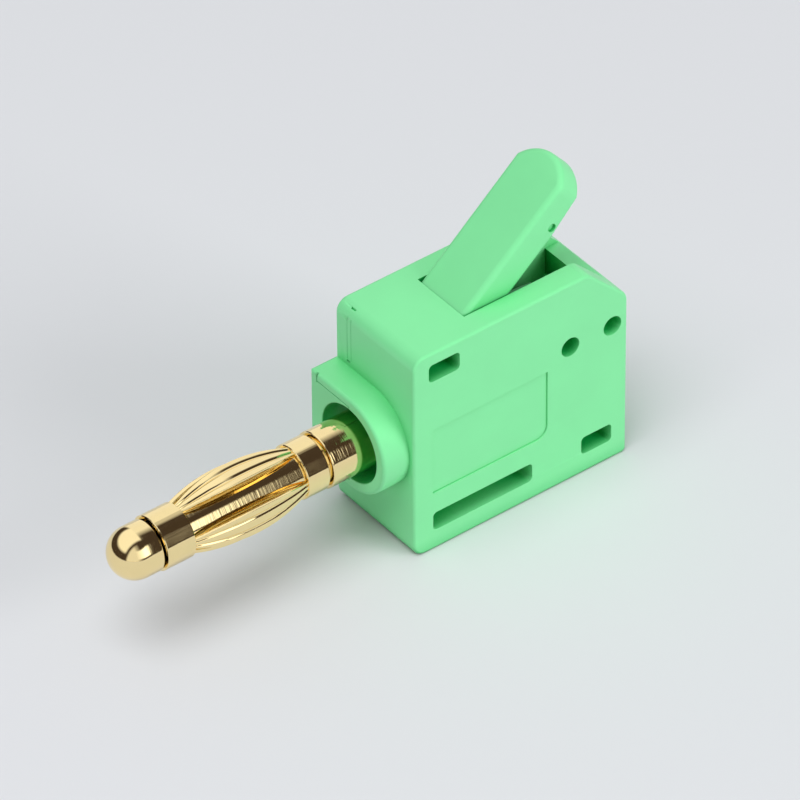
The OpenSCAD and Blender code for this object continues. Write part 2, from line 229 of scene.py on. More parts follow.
def new_finish(name):
    """Makes an empty material and returns its node tree."""
    made = bpy.data.materials.new(name)
    made.use_nodes = True
    made.node_tree.nodes.clear()
    return made.node_tree


def moulded_polyamide(colour):
    # Injection-moulded polyamide: a soft satin sheen, with faint flow clouds a few
    # millimetres across and a fine eroded grain from the mould, and painted shade that
    # turns recesses, gaps and places near other things a darker, deeper green.
    flow_mm, grain_mm, grain_depth_mm = 4.0, 0.12, 0.02
    grain_strength = 0.06
    dull, bright = 0.94, 1.05
    smooth, rough = 0.36, 0.48
    polyamide_ior = 1.53
    # Reach of the painted shade in mm, the occlusion where it is full and where it ends, and the
    # shares of the colour left in it at full shade
    painted_shade_reach_mm, closed, open_to_light = 2.4, 0.22, 0.72
    painted_shade_red, painted_shade_green, painted_shade_blue = 0.02, 0.58, 0.28

    tree = new_finish("moulded_polyamide")
    place = node(tree, "ShaderNodeTexCoord").outputs["Object"]
    clouds = node(
        tree, "ShaderNodeTexNoise", {"Scale": 1 / (flow_mm * MM), "Detail": 3.0}, {"Vector": place},
    ).outputs["Fac"]
    tint = node(
        tree, "ShaderNodeMix",
        {
            "data_type": "RGBA",
            6: toned(colour, dull, dull, dull), 7: toned(colour, bright, bright, bright),
        },
        {"Factor": clouds},
    )
    sheen = node(tree, "ShaderNodeMapRange", {"To Min": smooth, "To Max": rough}, {"Value": clouds})
    grain = node(
        tree, "ShaderNodeTexNoise", {"Scale": 1 / (grain_mm * MM), "Detail": 2.0},
        {"Vector": place},
    )
    relief = node(
        tree, "ShaderNodeBump", {"Strength": grain_strength, "Distance": grain_depth_mm * MM},
        {"Height": grain.outputs["Fac"]},
    )
    # Painted shade: ambient occlusion darkens the colour to a deeper green in recesses, in gaps and
    # near other things
    painted_shade_occlusion = node(
        tree, "ShaderNodeAmbientOcclusion", {"samples": 8, "Distance": painted_shade_reach_mm * MM},
    )
    painted_shade_openness = node(
        tree, "ShaderNodeMapRange", {"From Min": closed, "From Max": open_to_light},
        {"Value": painted_shade_occlusion.outputs["AO"]},
    )
    # Mixes the painted shade into the moulded colour
    colour_with_painted_shade = node(
        tree, "ShaderNodeMix",
        {"data_type": "RGBA", 6: toned(colour, painted_shade_red, painted_shade_green, painted_shade_blue)},
        {"Factor": painted_shade_openness.outputs["Result"], 7: tint.outputs[2]},
    )
    shader = node(
        tree, "ShaderNodeBsdfPrincipled", {"IOR": polyamide_ior},
        {
            "Base Color": colour_with_painted_shade.outputs[2], "Roughness": sheen.outputs["Result"],
            "Normal": relief.outputs["Normal"],
        },
    )
    node(tree, "ShaderNodeOutputMaterial", links={"Surface": shader.outputs["BSDF"]})


def gold_plate(name, colour, rough, relief):
    # Gold plating: bright, warm and mirror-like, slightly worn, over the relief that
    # the making left on the brass.
    wear_mm = 0.8
    glossier, rougher = 0.7, 1.3
    worn = 0.93

    tree = new_finish(name)
    place = node(tree, "ShaderNodeTexCoord").outputs["Object"]
    wear = node(
        tree, "ShaderNodeTexNoise", {"Scale": 1 / (wear_mm * MM), "Detail": 4.0}, {"Vector": place},
    ).outputs["Fac"]
    gloss = node(
        tree, "ShaderNodeMapRange", {"To Min": rough * glossier, "To Max": rough * rougher},
        {"Value": wear},
    )
    tint = node(
        tree, "ShaderNodeMix",
        {"data_type": "RGBA", 6: toned(colour, worn, worn, worn), 7: colour},
        {"Factor": wear},
    )
    shader = node(
        tree, "ShaderNodeBsdfPrincipled", {"Metallic": 1.0},
        {
            "Base Color": tint.outputs[2], "Roughness": gloss.outputs["Result"],
            "Normal": relief(tree, place).outputs["Normal"],
        },
    )
    node(tree, "ShaderNodeOutputMaterial", links={"Surface": shader.outputs["BSDF"]})


def turned_rings(tree, place):
    # Uneven rings that the lathe tool left on the stem, drawn coarse enough to show, and
    # fainter in front of the stem and near the collar
    ring_mm, depth_mm, strength = 0.16, 0.012, 0.5
    round_the_pin = 0.12
    before_stem, at_collar = 0.35, 0.15
    stem_start = (FRONT_X - STEM_LENGTH) * MM
    step, fade_from, fade_to = 0.1 * MM, 1.3 * MM, 2.1 * MM

    along = node(tree, "ShaderNodeSeparateXYZ", links={"Vector": place}).outputs["X"]
    stretch = node(
        tree, "ShaderNodeMapping", {"Scale": (1.0, round_the_pin, round_the_pin)},
        {"Vector": place},
    )
    rings = node(
        tree, "ShaderNodeTexNoise", {"Scale": 1 / (ring_mm * MM), "Detail": 1.0},
        {"Vector": stretch.outputs["Vector"]},
    )
    behind = node(
        tree, "ShaderNodeMapRange",
        {"From Min": stem_start - step, "From Max": stem_start, "To Min": before_stem},
        {"Value": along},
    )
    near_collar = node(
        tree, "ShaderNodeMapRange",
        {
            "From Min": stem_start + fade_from, "From Max": stem_start + fade_to,
            "To Min": 1.0, "To Max": at_collar,
        },
        {"Value": along},
    )
    shown = node(
        tree, "ShaderNodeMath", {"operation": "MULTIPLY"},
        {0: behind.outputs["Result"], 1: near_collar.outputs["Result"]},
    )
    depth = node(
        tree, "ShaderNodeMath", {"operation": "MULTIPLY"},
        {0: rings.outputs["Fac"], 1: shown.outputs[0]},
    )
    return node(
        tree, "ShaderNodeBump", {"Strength": strength, "Distance": depth_mm * MM},
        {"Height": depth.outputs[0]},
    )


def drawn_lines(tree, place):
    # Lines along the sheet from its drawing, drawn coarse enough to show
    line_mm, depth_mm, strength = 0.35, 0.06, 0.4
    along_sheet = 0.02
    stretch = node(
        tree, "ShaderNodeMapping", {"Scale": (along_sheet, 1.0, 1.0)}, {"Vector": place},
    )
    lines = node(
        tree, "ShaderNodeTexNoise", {"Scale": 1 / (line_mm * MM), "Detail": 2.0},
        {"Vector": stretch.outputs["Vector"]},
    )
    return node(
        tree, "ShaderNodeBump", {"Strength": strength, "Distance": depth_mm * MM},
        {"Height": lines.outputs["Fac"]},
    )


def rolled_strip(name, colour, rough):
    # Rolled metal strip: a satin face with faint streaks along the rolling direction.
    streak_mm = 0.15
    along_strip = 0.08
    glossier, rougher = 0.8, 1.3
    dull = 0.85

    tree = new_finish(name)
    place = node(tree, "ShaderNodeTexCoord").outputs["Object"]
    stretch = node(
        tree, "ShaderNodeMapping", {"Scale": (along_strip, 1.0, 1.0)}, {"Vector": place},
    )
    streaks = node(
        tree, "ShaderNodeTexNoise", {"Scale": 1 / (streak_mm * MM), "Detail": 3.0},
        {"Vector": stretch.outputs["Vector"]},
    ).outputs["Fac"]
    gloss = node(
        tree, "ShaderNodeMapRange", {"To Min": rough * glossier, "To Max": rough * rougher},
        {"Value": streaks},
    )
    tint = node(
        tree, "ShaderNodeMix",
        {"data_type": "RGBA", 6: toned(colour, dull, dull, dull), 7: colour},
        {"Factor": streaks},
    )
    shader = node(
        tree, "ShaderNodeBsdfPrincipled", {"Metallic": 1.0},
        {"Base Color": tint.outputs[2], "Roughness": gloss.outputs["Result"]},
    )
    node(tree, "ShaderNodeOutputMaterial", links={"Surface": shader.outputs["BSDF"]})


def matt_paper(colour):
    # Matt studio paper: an even pale tone with almost no sheen.
    tree = new_finish("pale_matt_paper")
    shader = node(
        tree, "ShaderNodeBsdfPrincipled",
        {"Base Color": colour, "Roughness": 0.9, "Specular IOR Level": 0.1},
    )
    node(tree, "ShaderNodeOutputMaterial", links={"Surface": shader.outputs["BSDF"]})


def millimetre_copy(name):
    """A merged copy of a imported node's mesh, in millimetres, with flat areas made whole."""
    work = bmesh.new()
    work.from_mesh(frame["nodes"][name].data)
    bmesh.ops.scale(work, vec=(1 / MM,) * 3, verts=work.verts)
    bmesh.ops.remove_doubles(work, verts=work.verts, dist=MERGE_DISTANCE)
    bmesh.ops.dissolve_limit(
        work, angle_limit=FLAT_LIMIT, verts=work.verts, edges=work.edges, delimit=set(),
    )
    return work


def soften(work, radius, wanted, segments):
    """Rounds the sharp edges that the test wants, given each edge's middle and ends."""
    chosen = []
    for edge in work.edges:
        if len(edge.link_faces) == 2 and edge.calc_face_angle(0) > SHARP_EDGE:
            ends = [v.co for v in edge.verts]
            if wanted((ends[0] + ends[1]) / 2, ends):
                chosen.append(edge)
    bmesh.ops.bevel(
        work, geom=chosen, offset=radius, offset_type="OFFSET", segments=segments, profile=0.5,
        affect="EDGES", clamp_overlap=True, loop_slide=False,
        miter_outer="SHARP", miter_inner="SHARP",
    )


def piece_from(work, name, finish, body, replaced):
    """Makes the worked mesh a piece in metres that rides on its body."""
    bmesh.ops.scale(work, vec=(MM,) * 3, verts=work.verts)
    mesh = bpy.data.meshes.new(name)
    work.to_mesh(mesh)
    work.free()
    mesh.materials.clear()
    mesh.materials.append(bpy.data.materials[finish])
    for face in mesh.polygons:
        face.use_smooth = True
    mesh.set_sharp_from_angle(angle=SMOOTH_LIMIT)
    made = bpy.data.objects.new(name, mesh)
    bpy.context.scene.collection.objects.link(made)
    normals = made.modifiers.new("face_normals", "WEIGHTED_NORMAL")
    normals.keep_sharp = True
    normals.weight = FACE_WEIGHT
    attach(made, body)
    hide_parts(replaced)


def carve(work, cutters):
    """Takes closed cutters out of a worked mesh, freeing both, and returns the result."""
    made = []
    for given in (work, cutters):
        mesh = bpy.data.meshes.new("carving")
        given.to_mesh(mesh)
        given.free()
        made.append(bpy.data.objects.new("carving", mesh))
        bpy.context.scene.collection.objects.link(made[-1])
    cut = made[0].modifiers.new("cut", "BOOLEAN")
    cut.operation, cut.solver, cut.object = "DIFFERENCE", "EXACT", made[1]
    evaluated = made[0].evaluated_get(bpy.context.evaluated_depsgraph_get())
    carved = bpy.data.meshes.new_from_object(evaluated)
    for thing in made:
        bpy.data.objects.remove(thing)
    out = bmesh.new()
    out.from_mesh(carved)
    return out


def near(value, target, slack=0.02):
    """True where two measures agree."""
    return abs(value - target) < slack


def on_outline(point):
    """True along the outer outline of the housing, seen from the side."""
    low_rim, top_rim, rear_rim = 0.95, 0.85, 0.4
    slope_leg, slope_rim = 3.1, 0.5
    along = point.x - FRONT_X
    slope_start = (REAR_X - FRONT_X) + TOP_Z - slope_leg - slope_rim
    return (
        along < low_rim or point.x > REAR_X - rear_rim
        or point.z < low_rim or point.z > TOP_Z - top_rim
        or along + point.z > slope_start
    )


def on_label(point):
    """True round the rim of the sunken label panel."""
    front, rear, low, high = 1.3, 10.7, 4.3, 9.8
    return front < point.x - FRONT_X < rear and low < point.z < high


def from_axis(point):
    """Distance from the pin's axis."""
    return math.hypot(point.y, point.z - PIN_AXIS_Z)


def collar_outside(mid, ends):
    """Outer edge of the collar's front."""
    reach = COLLAR_RADIUS - 0.08
    at_front = all(near(e.x, COLLAR_X) for e in ends)
    flank = mid.y < 0 or abs(mid.z - PIN_AXIS_Z) > reach
    return at_front and from_axis(mid) > reach and flank


def collar_mouth(mid, ends):
    """Edge of the collar's bore."""
    slack = 0.03
    return all(
        near(e.x, COLLAR_X) and near(from_axis(e), COLLAR_BORE_RADIUS, slack) for e in ends
    )


class PLUG_OT_housing_body(bpy.types.Operator):
    """Softens the edges of the housing body"""

    bl_idname = "plug.housing_body"
    bl_label = "Housing body"

    def execute(self, context):
        sizes = context.scene.plug_mouldings
        work = millimetre_copy("housing_body")
        recess_from, recess_to = NEAR_Y + 1, SEAM_Y - 0.1

        def at_side(ends):
            return all(near(e.y, NEAR_Y) for e in ends)

        def side_rim(mid, ends):
            return at_side(ends) and on_outline(mid)

        def opening_rim(mid, ends):
            at_recess = all(near(e.z, TOP_Z) for e in ends) and recess_from < mid.y < recess_to
            return (at_side(ends) and not on_outline(mid) and not on_label(mid)) or at_recess

        def panel_rim(mid, ends):
            return at_side(ends) and on_label(mid)

        soften(work, sizes.side_edge, side_rim, segments=4)
        soften(work, sizes.collar_edge, collar_outside, segments=3)
        soften(work, sizes.opening_edge, collar_mouth, segments=2)
        soften(work, sizes.opening_edge, opening_rim, segments=2)
        soften(work, sizes.panel_edge, panel_rim, segments=2)
        piece_from(
            work, "housing_body_moulding", "moulded_polyamide",
            HOUSING, "housing_body",
        )
        return {"FINISHED"}


class PLUG_OT_housing_cover(bpy.types.Operator):
    """Softens the edges of the housing cover and cuts the marks on its seam"""

    bl_idname = "plug.housing_cover"
    bl_label = "Housing cover"

    @staticmethod
    def seam_marks(line):
        """Cutters for the fine marks along the seam of the two mouldings."""
        collar_top = PIN_AXIS_Z + COLLAR_RADIUS
        low, high = collar_top + 0.5, TOP_Z - 0.6
        middle = (low + high) / 2
        upright = (2 * line, line, high - low)
        notch, pit, collar_line = (0.12, 0.42, 0.4), (0.3, 0.3, 0.16), (0.3, 2 * line, 0.5)
        marks = (
            # Two fine lines on the front face
            ((FRONT_X, SEAM_Y + line / 3, middle), upright),
            ((FRONT_X, SEAM_Y + 0.4, middle), upright),
            # A notch on the top rounding, a pit above the collar and a line on its front
            ((FRONT_X + 0.45, SEAM_Y + 0.28, TOP_Z - 0.05), notch),
            ((FRONT_X, SEAM_Y + 0.3, collar_top + 0.35), pit),
            ((COLLAR_X, LIP_Y + line, collar_top - 0.45), collar_line),
        )
        cutters = bmesh.new()
        for place, size in marks:
            matrix = Matrix.LocRotScale(Vector(place), None, Vector(size))
            bmesh.ops.create_cube(cutters, matrix=matrix)
        return cutters

    def execute(self, context):
        sizes = context.scene.plug_mouldings
        work = millimetre_copy("housing_cover")

        # The two mouldings are pressed together, so no gap shows between them
        on_gap = 0.005
        for vert in work.verts:
            if any(near(vert.co.y, face + FIT_GAP, on_gap) for face in (SEAM_Y, LIP_Y)):
                vert.co.y -= FIT_GAP

        def far_rim(mid, ends):
            return all(near(e.y, FAR_Y) for e in ends)

        soften(work, sizes.cover_edge, far_rim, segments=4)
        soften(work, sizes.collar_edge, collar_outside, segments=3)
        soften(work, sizes.opening_edge, collar_mouth, segments=2)
        work = carve(work, self.seam_marks(sizes.seam_line))
        piece_from(
            work, "housing_cover_moulding", "moulded_polyamide",
            HOUSING, "housing_cover",
        )
        return {"FINISHED"}


def lathe(work, profile, sides):
    """Turns (station, radius) points about the X axis into a skin and returns its vertices."""
    turn = [2 * math.pi * i / sides for i in range(sides)]
    rings = []
    for station, radius in profile:
        if radius == 0:
            rings.append([work.verts.new((station, 0, 0))])
            continue
        rings.append([
            work.verts.new((station, radius * math.sin(a), radius * math.cos(a))) for a in turn
        ])
    for first, second in zip(rings, rings[1:]):
        for i in range(sides):
            j = (i + 1) % sides
            corners = [
                first[i % len(first)], first[j % len(first)],
                second[j % len(second)], second[i % len(second)],
            ]
            work.faces.new(list(dict.fromkeys(corners)))
    bmesh.ops.recalc_face_normals(work, faces=work.faces)
    return [vert for ring in rings for vert in ring]


def rounded_profile(points):
    """Rounds each (station, radius, round) corner of a profile with a short arc."""
    steps = 4
    out = []
    for i, (x, r, fillet) in enumerate(points):
        if fillet == 0 or i in (0, len(points) - 1):
            out.append((x, r))
            continue
        here = Vector((x, r))
        back = (Vector(points[i - 1][:2]) - here).normalized()
        ahead = (Vector(points[i + 1][:2]) - here).normalized()
        for k in range(steps + 1):
            t = k / steps
            p = here + back * fillet * (1 - t) ** 2 + ahead * fillet * t ** 2
            out.append((p.x, p.y))
    return out


def lever_arm(sizes, top, under, taper, tip_under):
    """Arm of the lever with rounded edges, lying closed with its pivot at the origin."""
    half, tip_r, fillet = sizes.lever_width / 2, sizes.lever_tip, sizes.lever_edge
    centre = sizes.lever_reach - tip_r
    steps, rounds = 24, 6

    def lower(u):
        return -under + (under - tip_under) * max(0, u - sizes.lever_reach + taper) / taper

    def outline(inset):
        r, h = tip_r - inset, half - inset
        turn = math.asin(min(1, h / r))
        straight = centre + r * math.cos(turn)
        side = [(straight * i / steps, -h) for i in range(steps)]
        angles = [turn * (2 * k / steps - 1) for k in range(steps + 1)]
        arc = [(centre + r * math.cos(a), r * math.sin(a)) for a in angles]
        return side + arc + [(u, -v) for u, v in reversed(side)]

    work = bmesh.new()
    rows = []
    quarter = [math.pi / 2 * k / rounds for k in range(rounds + 1)]
    for upper, angles in ((True, quarter), (False, reversed(quarter))):
        for a in angles:
            drop = fillet * (1 - math.cos(a))
            rows.append([
                work.verts.new((u, v, top - drop if upper else lower(u) + drop))
                for u, v in outline(fillet * (1 - math.sin(a)))
            ])
    count = len(rows[0])
    for first, second in zip(rows, rows[1:]):
        for i in range(count):
            j = (i + 1) % count
            work.faces.new((first[i], second[i], second[j], first[j]))
    for cap in (rows[0], rows[-1]):
        for i in range(count // 2):
            corners = (cap[i], cap[i + 1], cap[count - 2 - i], cap[count - 1 - i])
            work.faces.new(list(dict.fromkeys(corners)))
    bmesh.ops.recalc_face_normals(work, faces=work.faces)
    return work


def crosswise(work, length, radius, fillet, place):
    """Adds a cylinder with rounded ends that lies across the plug."""
    half = length / 2
    profile = rounded_profile([
        (-half, 0, 0), (-half, radius, fillet), (half, radius, fillet), (half, 0, 0),
    ])
    verts = lathe(work, profile, MOULDED_SIDES)
    bmesh.ops.rotate(work, matrix=Matrix.Rotation(math.pi / 2, 3, "Z"), verts=verts)
    bmesh.ops.translate(work, vec=place, verts=verts)


class PLUG_OT_lever(bpy.types.Operator):
    """Makes the lever from its rounded arm, boss, cam nose and trunnions"""

    bl_idname = "plug.lever"
    bl_label = "Lever"

    def execute(self, context):
        sizes = context.scene.plug_mouldings
        boss_r, under, taper, tip_under = 1.4, 1.1, 4.0, 0.7
        cam_turn, cam_reach, cam_r = math.radians(232), 1.4, 0.5
        trunnion_r, trunnion_l = 0.8, 0.9
        end_round = 0.1
        hole_r, hole_depth, hole_back, hole_drop = 0.3, 0.2, 3.7, 0.4
        half = sizes.lever_width / 2
        pivot = (0, 0, 0)
        cam_place = (cam_reach * math.cos(cam_turn), 0, cam_reach * math.sin(cam_turn))
        hole_place = (sizes.lever_reach - hole_back, -half, -hole_drop)

        drill = bmesh.new()
        crosswise(drill, 2 * hole_depth, hole_r, 0, hole_place)
        work = carve(lever_arm(sizes, boss_r, under, taper, tip_under), drill)
        crosswise(work, 2 * half, boss_r, sizes.lever_edge, pivot)
        crosswise(work, 2 * half, cam_r, end_round, cam_place)
        crosswise(work, 2 * (half + trunnion_l), trunnion_r, end_round, pivot)
        raised = Matrix.Rotation(-math.radians(HINGE["range_deg"][1]), 4, "Y")
        hung = Matrix.Translation(Vector(HINGE["pos_m"]) / MM)
        bmesh.ops.transform(work, matrix=hung @ raised, verts=work.verts)
        piece_from(work, "lever_moulding", "moulded_polyamide", LEVER, "lever")
        return {"FINISHED"}


class PLUG_OT_contact_pin(bpy.types.Operator):
    """Turns the contact pin with its head, grooves, stem and riveted tail"""

    bl_idname = "plug.contact_pin"
    bl_label = "Contact pin"

    def execute(self, context):
        tip, end = PIN_LOW.x, PIN_HIGH.x
        head_r, head_l = 1.75, 2.8
        core_front_r, core_r, stem_r = 1.36, 1.55, 1.925
        flange_r, flange_t, flange_in = 2.4, 0.9, 1.65
        tail_r, rivet_r, rivet_t = 1.0, 1.25, 0.5
        inner_round, head_round, stem_round, flange_round = 0.03, 0.12, 0.1, 0.08
        rivet_root, rivet_front, rivet_back = 0.02, 0.05, 0.2
        head_end = tip + head_l
        core_middle = (LANTERN_LOW.x + LANTERN_HIGH.x) / 2
        stem_start = FRONT_X - STEM_LENGTH
        flange_x = FRONT_X + flange_in
        flange_end = flange_x + flange_t
        rivet_x = end - rivet_t

        dome_steps = 16
        dome = [(tip, 0)]
        for k in range(1, dome_steps + 1):
            a = math.pi / 2 * k / dome_steps
            dome.append((tip + head_r * (1 - math.cos(a)), head_r * math.sin(a)))
        corners = [
            (tip + head_r, head_r, 0),
            (head_end, head_r, head_round),
            (head_end, core_front_r, inner_round),
            (core_middle, core_r, 0),
            (stem_start, core_r, inner_round),
            (stem_start, stem_r, stem_round),
            (flange_x, stem_r, inner_round),
            (flange_x, flange_r, flange_round),
            (flange_end, flange_r, flange_round),
            (flange_end, tail_r, inner_round),
            (rivet_x, tail_r, rivet_root),
            (rivet_x, rivet_r, rivet_front),
            (end, rivet_r, rivet_back),
            (end, 0, 0),
        ]
        work = bmesh.new()
        lathe(work, dome + rounded_profile(corners)[1:], TURNED_SIDES)
        bmesh.ops.translate(work, vec=(0, 0, PIN_AXIS_Z), verts=work.verts)
        piece_from(
            work, "turned_contact_pin", "gold_plated_turned_brass",
            HOUSING, "contact_pin",
        )
        return {"FINISHED"}


def leaf_mesh(sizes, start, end, widest):
    """One bowed leaf above the origin's X axis, almost flat across, in millimetres."""
    middle, half = (start + end) / 2, (end - start) / 2
    rise = widest - sizes.ring_radius + LEAF_SINK
    bow = (half * half + rise * rise) / (2 * rise)
    swell = (sizes.leaf_middle - sizes.leaf_ends) / 2
    sweep = (half * half + swell * swell) / (2 * swell)
    root, crown, sheet_edge = 0.2, 9.0, 0.04
    groove_at, groove_half, groove_depth = 0.45, 0.14, 0.095
    along, across = 48, 40
    work = bmesh.new()
    layers = []
    for depth in (0, sizes.sheet):
        grid = []
        for i in range(along + 1):
            x = -half - root + (2 * half + 2 * root) * i / along
            inside = max(-half, min(half, x))
            height = widest - bow + math.sqrt(bow * bow - inside * inside)
            width = sizes.leaf_middle / 2 - sweep + math.sqrt(sweep * sweep - inside * inside)
            row = []
            for j in range(across + 1):
                share = 2 * j / across - 1
                t = width * share
                groove = groove_depth * math.exp(-(((abs(share) - groove_at) / groove_half) ** 2))
                z = height - depth - groove - t * t / (2 * crown)
                row.append(work.verts.new((middle + x, t, z)))
            grid.append(row)
        layers.append(grid)
    outer, inner = layers
    for i in range(along):
        for j in range(across):
            work.faces.new((outer[i][j], outer[i][j + 1], outer[i + 1][j + 1], outer[i + 1][j]))
            work.faces.new((inner[i][j], inner[i + 1][j], inner[i + 1][j + 1], inner[i][j + 1]))
        for j, flip in ((0, False), (across, True)):
            quad = [outer[i][j], outer[i + 1][j], inner[i + 1][j], inner[i][j]]
            work.faces.new(quad[::-1] if flip else quad)
    for j in range(across):
        for i, flip in ((0, True), (along, False)):
            quad = [outer[i][j], outer[i][j + 1], inner[i][j + 1], inner[i][j]]
            work.faces.new(quad[::-1] if flip else quad)
    bmesh.ops.recalc_face_normals(work, faces=work.faces)
    soften(work, sheet_edge, lambda mid, ends: True, segments=2)
    mesh = bpy.data.meshes.new("spring_leaf")
    work.to_mesh(mesh)
    work.free()
    return mesh


def leaf_ring_tree(finish):
    """A tree that repeats one leaf evenly round the X axis, and its count's identifier."""
    tree = bpy.data.node_groups.new("leaves_round_the_pin", "GeometryNodeTree")
    tree.interface.new_socket("Leaf", in_out="INPUT", socket_type="NodeSocketGeometry")
    count = tree.interface.new_socket("Leaf count", in_out="INPUT", socket_type="NodeSocketInt")
    tree.interface.new_socket("Leaves", in_out="OUTPUT", socket_type="NodeSocketGeometry")
    given = node(tree, "NodeGroupInput").outputs
    points = node(tree, "GeometryNodePoints", links={"Count": given["Leaf count"]})
    index = node(tree, "GeometryNodeInputIndex")
    share = node(
        tree, "ShaderNodeMath", {"operation": "DIVIDE"},
        {0: index.outputs[0], 1: given["Leaf count"]},
    )
    turn = node(
        tree, "ShaderNodeMath", {"operation": "MULTIPLY", 1: 2 * math.pi}, {0: share.outputs[0]},
    )
    angle = node(tree, "ShaderNodeCombineXYZ", links={"X": turn.outputs[0]})
    spread = node(
        tree, "GeometryNodeInstanceOnPoints",
        links={
            "Points": points.outputs[0], "Instance": given["Leaf"], "Rotation": angle.outputs[0],
        },
    )
    real = node(tree, "GeometryNodeRealizeInstances", links={"Geometry": spread.outputs[0]})
    dressed = node(
        tree, "GeometryNodeSetMaterial", {"Material": finish}, {"Geometry": real.outputs[0]},
    )
    node(tree, "NodeGroupOutput", links={"Leaves": dressed.outputs[0]})
    return tree, count.identifier


class PLUG_OT_lantern_spring(bpy.types.Operator):
    """Makes the lantern spring from two rings and a ring of bowed leaves"""

    bl_idname = "plug.lantern_spring"
    bl_label = "Lantern spring"

    def execute(self, context):
        sizes = context.scene.plug_contacts
        finish = "gold_plated_spring_sheet"
        widest = (LANTERN_HIGH.z - LANTERN_LOW.z) / 2
        start = LANTERN_LOW.x + sizes.front_ring
        end = LANTERN_HIGH.x - sizes.rear_ring
        leaf = bpy.data.objects.new("spring_leaf", leaf_mesh(sizes, start, end, widest))
        context.scene.collection.objects.link(leaf)
        tree, count = leaf_ring_tree(bpy.data.materials[finish])
        ring = leaf.modifiers.new("leaves_round_the_pin", "NODES")
        ring.node_group = tree
        ring[count] = sizes.leaf_count
        evaluated = leaf.evaluated_get(context.evaluated_depsgraph_get())
        leaves = bpy.data.meshes.new_from_object(evaluated)
        leaf.modifiers.remove(ring)
        bpy.data.objects.remove(leaf)

        work = bmesh.new()
        work.from_mesh(leaves)
        outer, inner, edge = sizes.ring_radius, sizes.ring_radius - sizes.sheet, 0.05
        for low, high in ((LANTERN_LOW.x, start), (end, LANTERN_HIGH.x)):
            loop = [
                (low + edge, inner), (low, inner + edge),
                (low, outer - edge), (low + edge, outer),
                (high - edge, outer), (high, outer - edge),
                (high, inner + edge), (high - edge, inner),
            ]
            lathe(work, loop + loop[:1], TURNED_SIDES)
        bmesh.ops.translate(work, vec=(0, 0, PIN_AXIS_Z), verts=work.verts)
        bmesh.ops.remove_doubles(work, verts=work.verts, dist=MERGE_DISTANCE)
        piece_from(
            work, "lantern_spring_leaves", finish,
            HOUSING, "lantern_spring",
        )
        return {"FINISHED"}


class PLUG_OT_finishes(bpy.types.Operator):
    """Makes the materials and dresses the busbar and the clamp spring"""

    bl_idname = "plug.finishes"
    bl_label = "Finishes"

    def execute(self, context):
        turned_rough, sheet_rough, copper_rough, steel_rough = 0.09, 0.08, 0.32, 0.28
        moulded_polyamide(context.scene.plug_mouldings.green)
        gold = context.scene.plug_contacts.gold
        gold_plate("gold_plated_turned_brass", gold, turned_rough, turned_rings)
        gold_plate("gold_plated_spring_sheet", gold, sheet_rough, drawn_lines)
        rolled_strip("tinned_copper_strip", linear("#C9A27E"), copper_rough)
        rolled_strip("spring_steel_strip", linear("#B9BCC0"), steel_rough)
        strips = {"busbar": "tinned_copper_strip", "clamp_spring": "spring_steel_strip"}
        for name, finish in strips.items():
            frame["nodes"][name].material_slots[0].material = bpy.data.materials[finish]
        matt_paper(context.scene.plug_stage.floor)
        return {"FINISHED"}


# Panels of the room that polished metal mirrors. Each has its brightness and its sides, and
# a side has the axis of view, where on it the panel begins and where it is fully bright.
ROOM_PANELS = {
    "far_wall": (0.95, (("Y", 0.02, 0.4), ("X", 0.33, 0.41))),
    "overhead": (1.05, (("Y", -0.28, -0.14), ("Z", 0.4, 0.56), ("X", 0.41, 0.33))),
    "strip": (2.0, (
        ("X", 0.435, 0.405), ("X", -0.4, 0.2), ("Y", -0.28, -0.38),
        ("Z", 0.08, 0.16), ("Z", 0.7, 0.62),
    )),
    "front_box": (0.85, (("Y", -0.34, -0.46), ("X", 0.0, -0.4))),
}


